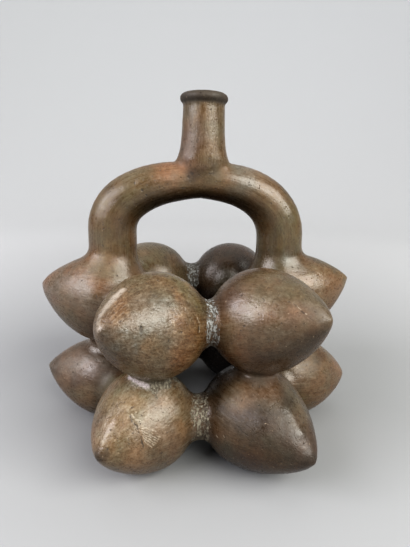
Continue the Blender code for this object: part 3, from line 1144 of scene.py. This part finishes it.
class Shading:
    """A material's node tree, with short calls for the nodes that it needs."""

    def __init__(self, name):
        """Starts from a plain Principled shader."""
        self.material = bpy.data.materials.new(name)
        self.material.use_nodes = True
        self.tree = self.material.node_tree
        self.shader = self.tree.nodes["Principled BSDF"]

    def feed(self, node, inputs):
        """Sets a node's inputs, each to a number, a colour or another node's socket."""
        for key, value in inputs.items():
            if isinstance(value, bpy.types.NodeSocket):
                self.tree.links.new(value, node.inputs[key])
            else:
                node.inputs[key].default_value = value

    def node(self, kind, inputs, **settings):
        """Adds a node with its inputs and settings."""
        made = self.tree.nodes.new("ShaderNode" + kind)
        for name, value in settings.items():
            setattr(made, name, value)
        self.feed(made, inputs)
        return made

    def attribute(self, name, output):
        """A value that the mesh holds at each of its points."""
        return self.node("Attribute", {}, attribute_name=name).outputs[output]

    def math(self, operation, first, second=0.0):
        """Arithmetic on two values."""
        return self.node("Math", {0: first, 1: second}, operation=operation).outputs[0]

    def noise(self, place, scale, detail, roughness):
        """Noise from 0 to 1; its scale is in waves per metre, one for all axes or one for each."""
        if isinstance(scale, tuple):
            place = self.vector("MULTIPLY", place, scale)
            scale = 1
        inputs = {"Vector": place, "Scale": scale, "Detail": detail, "Roughness": roughness}
        return self.node("TexNoise", inputs).outputs["Fac"]

    def ramp(self, value, low, high, start=0.0, end=1.0):
        """A value's range from low to high, run smoothly over start to end."""
        inputs = {"Value": value, "From Min": low, "From Max": high, "To Min": start, "To Max": end}
        return self.node("MapRange", inputs, interpolation_type="SMOOTHSTEP").outputs["Result"]

    def mix_value(self, share, first, second):
        """A mix of two values."""
        return self.node("Mix", {0: share, 2: first, 3: second}).outputs[0]

    def mix(self, share, first, second, blend="MIX"):
        """A mix of two colours."""
        inputs = {0: share, 6: first, 7: second}
        return self.node("Mix", inputs, data_type="RGBA", blend_type=blend).outputs[2]

    def vector(self, operation, first, second=(0.0, 0.0, 0.0), third=(0.0, 0.0, 0.0), output=0):
        """Arithmetic on vectors."""
        inputs = {0: first, 1: second}
        if operation == "MULTIPLY_ADD":
            inputs[2] = third
        return self.node("VectorMath", inputs, operation=operation).outputs[output]

    def weighed(self, values, weights):
        """The sum of the values that have a weight, each times its weight."""
        total = 0.0
        for name, weight in weights.items():
            inputs = {0: values[name], 1: weight, 2: total}
            total = self.node("Math", inputs, operation="MULTIPLY_ADD").outputs[0]
        return total

    def shaded(self, colour, strength, factors):
        """A colour made darker or lighter by factors, each used at a strength."""
        product = 1.0
        for factor in factors:
            product = self.math("MULTIPLY", product, factor)
        product = self.mix_value(strength, 1.0, product)
        channels = [self.math("POWER", product, power) for power in SPECK_POWERS]
        factor = self.node("CombineColor", dict(enumerate(channels))).outputs[0]
        return self.mix(1.0, colour, factor, "MULTIPLY")

    def line(self, place, start, end, half_width, strength):
        """A soft-edged line between two places: its strength on the line and 0 off it."""
        step = end - start
        offset = self.vector("SUBTRACT", place, start)
        run = self.vector("DOT_PRODUCT", offset, step / (step @ step), output="Value")
        run = self.node("Clamp", {"Value": run}).outputs[0]
        run = self.node("CombineXYZ", {0: run, 1: run, 2: run}).outputs[0]
        away = self.vector("MULTIPLY_ADD", run, -step, offset)
        distance = self.vector("LENGTH", away, output="Value")
        end, full = LINE_EDGE
        return self.ramp(distance, end * half_width, full * half_width, 0.0, strength)


def all_marks():
    """The single marks, and those of the rows, each between the row's first and last mark."""
    marks = [(kind, *mark) for kind, rows in MARKS.items() for mark in rows]
    for kind, count, first, last, half_width, strength in MARK_ROWS:
        for index in range(count):
            share = index / (count - 1)
            ends = np.array(first) * (1 - share) + np.array(last) * share
            marks.append((kind, *ends, half_width, strength))
    return marks


def mark_shares(shading, values, place):
    """How strongly each kind of mark shows at a place, with wandering and broken edges."""
    wander = shading.node("TexNoise", {"Vector": place, **WANDER_NOISE}).outputs["Color"]
    place = shading.vector("MULTIPLY_ADD", wander, 3 * (WANDER,), place)
    place = shading.vector("SUBTRACT", place, 3 * (WANDER / 2,))
    marks = all_marks()
    starts = points_at_pixels([mark[1:3] for mark in marks])
    ends = points_at_pixels([mark[3:5] for mark in marks])
    shares = dict.fromkeys(MARKS, 0.0)
    for (kind, *_, half_width, strength), start, end in zip(marks, starts, ends):
        line = shading.line(place, start, end, half_width * MILLIMETRE, strength)
        shares[kind] = shading.math("MAXIMUM", shares[kind], line)
    for kind, (noise, *left) in BREAKS.items():
        shares[kind] = shading.math("MULTIPLY", shares[kind], shading.ramp(values[noise], *left))
    return shares


def clay_values(shading):
    """The values, by name, from which the clay's colour, gloss and relief are mixed."""
    place = shading.node("TexCoord", {}).outputs["Object"]
    stroke = shading.attribute("stroke", "Vector")
    values = {name: shading.attribute(name, "Fac") for name in ("crust", "clear", "texture")}
    for name, noise in NOISES.items():
        values[name] = shading.noise(place, *noise)
    for name, noise in STROKE_NOISES.items():
        along = shading.noise(stroke, *noise)
        values[name] = shading.mix_value(values["clear"], STROKE_MIDDLE, along)
    values["pits"] = shading.ramp(values["pinholes"], *PIT_RANGE)
    values["flecks"] = shading.ramp(values["specks"], *FLECK_RANGE)
    values["crusted"] = shading.ramp(shading.weighed(values, COVER_MIX), *COVER_RANGE)
    values["crumb_height"] = shading.math("MULTIPLY", values["crumbs"], values["crusted"])
    values["height"] = shading.node("SeparateXYZ", {0: place}).outputs["Z"]
    values["satin"] = shading.ramp(shading.weighed(values, SATIN_MIX), *SATIN_RANGE)
    values["dull"] = shading.math("SUBTRACT", 1.0, shading.attribute("tone", "Alpha"))
    values["skin"] = shading.math("MULTIPLY", shading.weighed(values, SKIN_MIX), values["texture"])
    values.update(mark_shares(shading, values, place))
    return values


def clay_colour(shading, values):
    """The mottled clay, and what lies on it with the painted highlights, one layer on the other."""
    tone = shading.attribute("tone", "Color")
    red = shading.mix(1.0, tone, RED_CAST, "MULTIPLY")
    grey = shading.mix(1.0, tone, GREY_CAST, "MULTIPLY")
    hue = shading.ramp(shading.weighed(values, HUE_MIX), *HUE_RANGE)
    factors = [shading.ramp(values[name], *shade) for name, shade in SHADES.items()]
    colour = shading.shaded(shading.mix(hue, red, grey), values["texture"], factors)
    earth = shading.mix(shading.ramp(values["height"], *EARTH_TURNS), EARTH, BLOOM)
    crumb_tone = shading.ramp(shading.weighed(values, CRUMB_MIX), *CRUMB_RANGE)
    crust = shading.mix(crumb_tone, CRUMB_SHADE, earth)
    for name, strength, paint in LAYERS:
        share = shading.math("MULTIPLY", values[name], strength)
        colour = shading.mix(share, colour, crust if paint is None else paint)
    return colour


def clay_material():
    """Burnished clay: mottled, rubbed, finely pitted, with pale crust in the joints, painted shade
    and painted highlights.
    """
    shading = Shading("burnished_clay")
    values = clay_values(shading)
    raised = shading.weighed(values, RELIEF_MIX)
    bump = shading.node("Bump", {"Height": raised, "Distance": MILLIMETRE, "Strength": 1.0})
    shading.feed(shading.shader, {
        "Base Color": clay_colour(shading, values),
        "Roughness": shading.weighed(values, ROUGH_MIX),
        "Specular IOR Level": CLAY_SPECULAR,
        "IOR": CLAY_IOR,
        "Normal": bump.outputs["Normal"],
    })
    return shading.material


def paper_material():
    """Matt pale paper, a little lighter where it curves up, that throws little light back."""
    shading = Shading("stage_paper")
    place = shading.node("TexCoord", {}).outputs["Object"]
    away = shading.vector("LENGTH", place, output="Value")
    pale = shading.ramp(away, *STAGE_FADE, *STAGE_PALE)
    seen = shading.node("CombineColor", {0: pale, 1: pale, 2: pale}).outputs[0]
    seen = shading.mix(1.0, seen, (*STAGE_TINT, 1), "MULTIPLY")
    path = shading.node("LightPath", {}).outputs["Is Diffuse Ray"]
    colour = shading.mix(path, seen, (*STAGE_BOUNCE, 1))
    shading.feed(shading.shader, {"Base Color": colour, "Roughness": PAPER_ROUGHNESS})
    return shading.material


# The stage: a round pale floor that curves up into a wall all round

STAGE_MIDDLE = 0.3
STAGE_FLAT = 1.0
STAGE_CURVE = 1.3
STAGE_HEIGHT = 2.8
STAGE_SIDES = 96
STAGE_STEPS = 16

# The paper's paleness near the vessel and on the wall, the distances between which it changes,
# its tint, and what it throws back
STAGE_PALE = (0.330, 0.745)
STAGE_FADE = (0.03, 1.05)
STAGE_TINT = (0.955, 0.985, 1.025)
STAGE_BOUNCE = (0.15, 0.13, 0.11)


def make_stage():
    """A seamless bowl of pale paper, open at the top."""
    profile = [(0.0, 0.0), (STAGE_MIDDLE, 0.0), (STAGE_FLAT, 0.0)]
    for index in range(1, STAGE_STEPS + 1):
        turn = math.pi / 2 * index / STAGE_STEPS
        out = STAGE_FLAT + STAGE_CURVE * math.sin(turn)
        profile.append((out, STAGE_CURVE * (1 - math.cos(turn))))
    profile.append((STAGE_FLAT + STAGE_CURVE, STAGE_HEIGHT))
    corners = [(0.0, 0.0, 0.0)]
    for radius, height in profile[1:]:
        for index in range(STAGE_SIDES):
            turn = 2 * math.pi * index / STAGE_SIDES
            corners.append((radius * math.cos(turn), radius * math.sin(turn), height))
    faces = [(0, 1 + index, 1 + (index + 1) % STAGE_SIDES) for index in range(STAGE_SIDES)]
    for ring in range(len(profile) - 2):
        for index in range(STAGE_SIDES):
            here = 1 + ring * STAGE_SIDES + index
            following = 1 + ring * STAGE_SIDES + (index + 1) % STAGE_SIDES
            faces.append((here, here + STAGE_SIDES, following + STAGE_SIDES, following))
    mesh = bpy.data.meshes.new("stage_floor")
    mesh.from_pydata(corners, [], faces)
    mesh.shade_smooth()
    floor = bpy.data.objects.new("stage_floor", mesh)
    bpy.context.scene.collection.objects.link(floor)
    mesh.materials.append(paper_material())


# Soft lights: azimuth to the right of the front, elevation, distance, width, height, watts, colour
LIGHTS = {
    "left_window": (-67, 30, 1.15, 1.02, 0.62, 12.8, (0.98, 0.95, 0.97)),
    "right_window": (40, 34, 1.15, 1.10, 0.70, 16.6, (1.0, 0.98, 0.92)),
}
LIGHT_AIM = Vector((0, 0, 0.10))

# A light above and behind the vessel that faces the wall: place, width, height, watts, colour
WALL_LIGHT = (Vector((0.12, 0.55, 2.1)), 3.4, 0.6, 15.4, (0.97, 0.99, 1.0))

SKY_STRENGTH = 0.76
SKY_COLOUR = (1.0, 0.99, 0.97)


def make_area_light(name, place, back, width, height, power, colour):
    """A soft rectangular light that shines away from its back direction."""
    data = bpy.data.lights.new(name, "AREA")
    data.shape = "RECTANGLE"
    data.size = width
    data.size_y = height
    data.energy = power
    data.color = colour
    light = bpy.data.objects.new(name, data)
    light.location = place
    light.rotation_euler = back.to_track_quat("Z", "Y").to_euler()
    light.visible_camera = False
    bpy.context.scene.collection.objects.link(light)


def make_lights():
    """Tall soft windows round the vessel, a light on the wall and an even sky above."""
    for name, (azimuth, elevation, distance, width, height, power, colour) in LIGHTS.items():
        turn = math.radians(azimuth)
        rise = math.radians(elevation)
        back = Vector((
            math.sin(turn) * math.cos(rise),
            -math.cos(turn) * math.cos(rise),
            math.sin(rise),
        ))
        make_area_light(name, LIGHT_AIM + distance * back, back, width, height, power, colour)
    place, width, height, power, colour = WALL_LIGHT
    make_area_light("wall_light", place, Vector((0, -1, 0)), width, height, power, colour)
    world = bpy.data.worlds.new("sky")
    world.use_nodes = True
    background = world.node_tree.nodes["Background"]
    background.inputs["Color"].default_value = (*SKY_COLOUR, 1)
    background.inputs["Strength"].default_value = SKY_STRENGTH
    bpy.context.scene.world = world


main_camera()
vessel = make_vessel()
vessel.data.materials.append(clay_material())
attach(vessel, "root")
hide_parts("stirrup_vessel")
make_stage()
make_lights()
bpy.context.scene.view_settings.view_transform = "Standard"
bpy.context.scene.view_settings.look = "High Contrast"
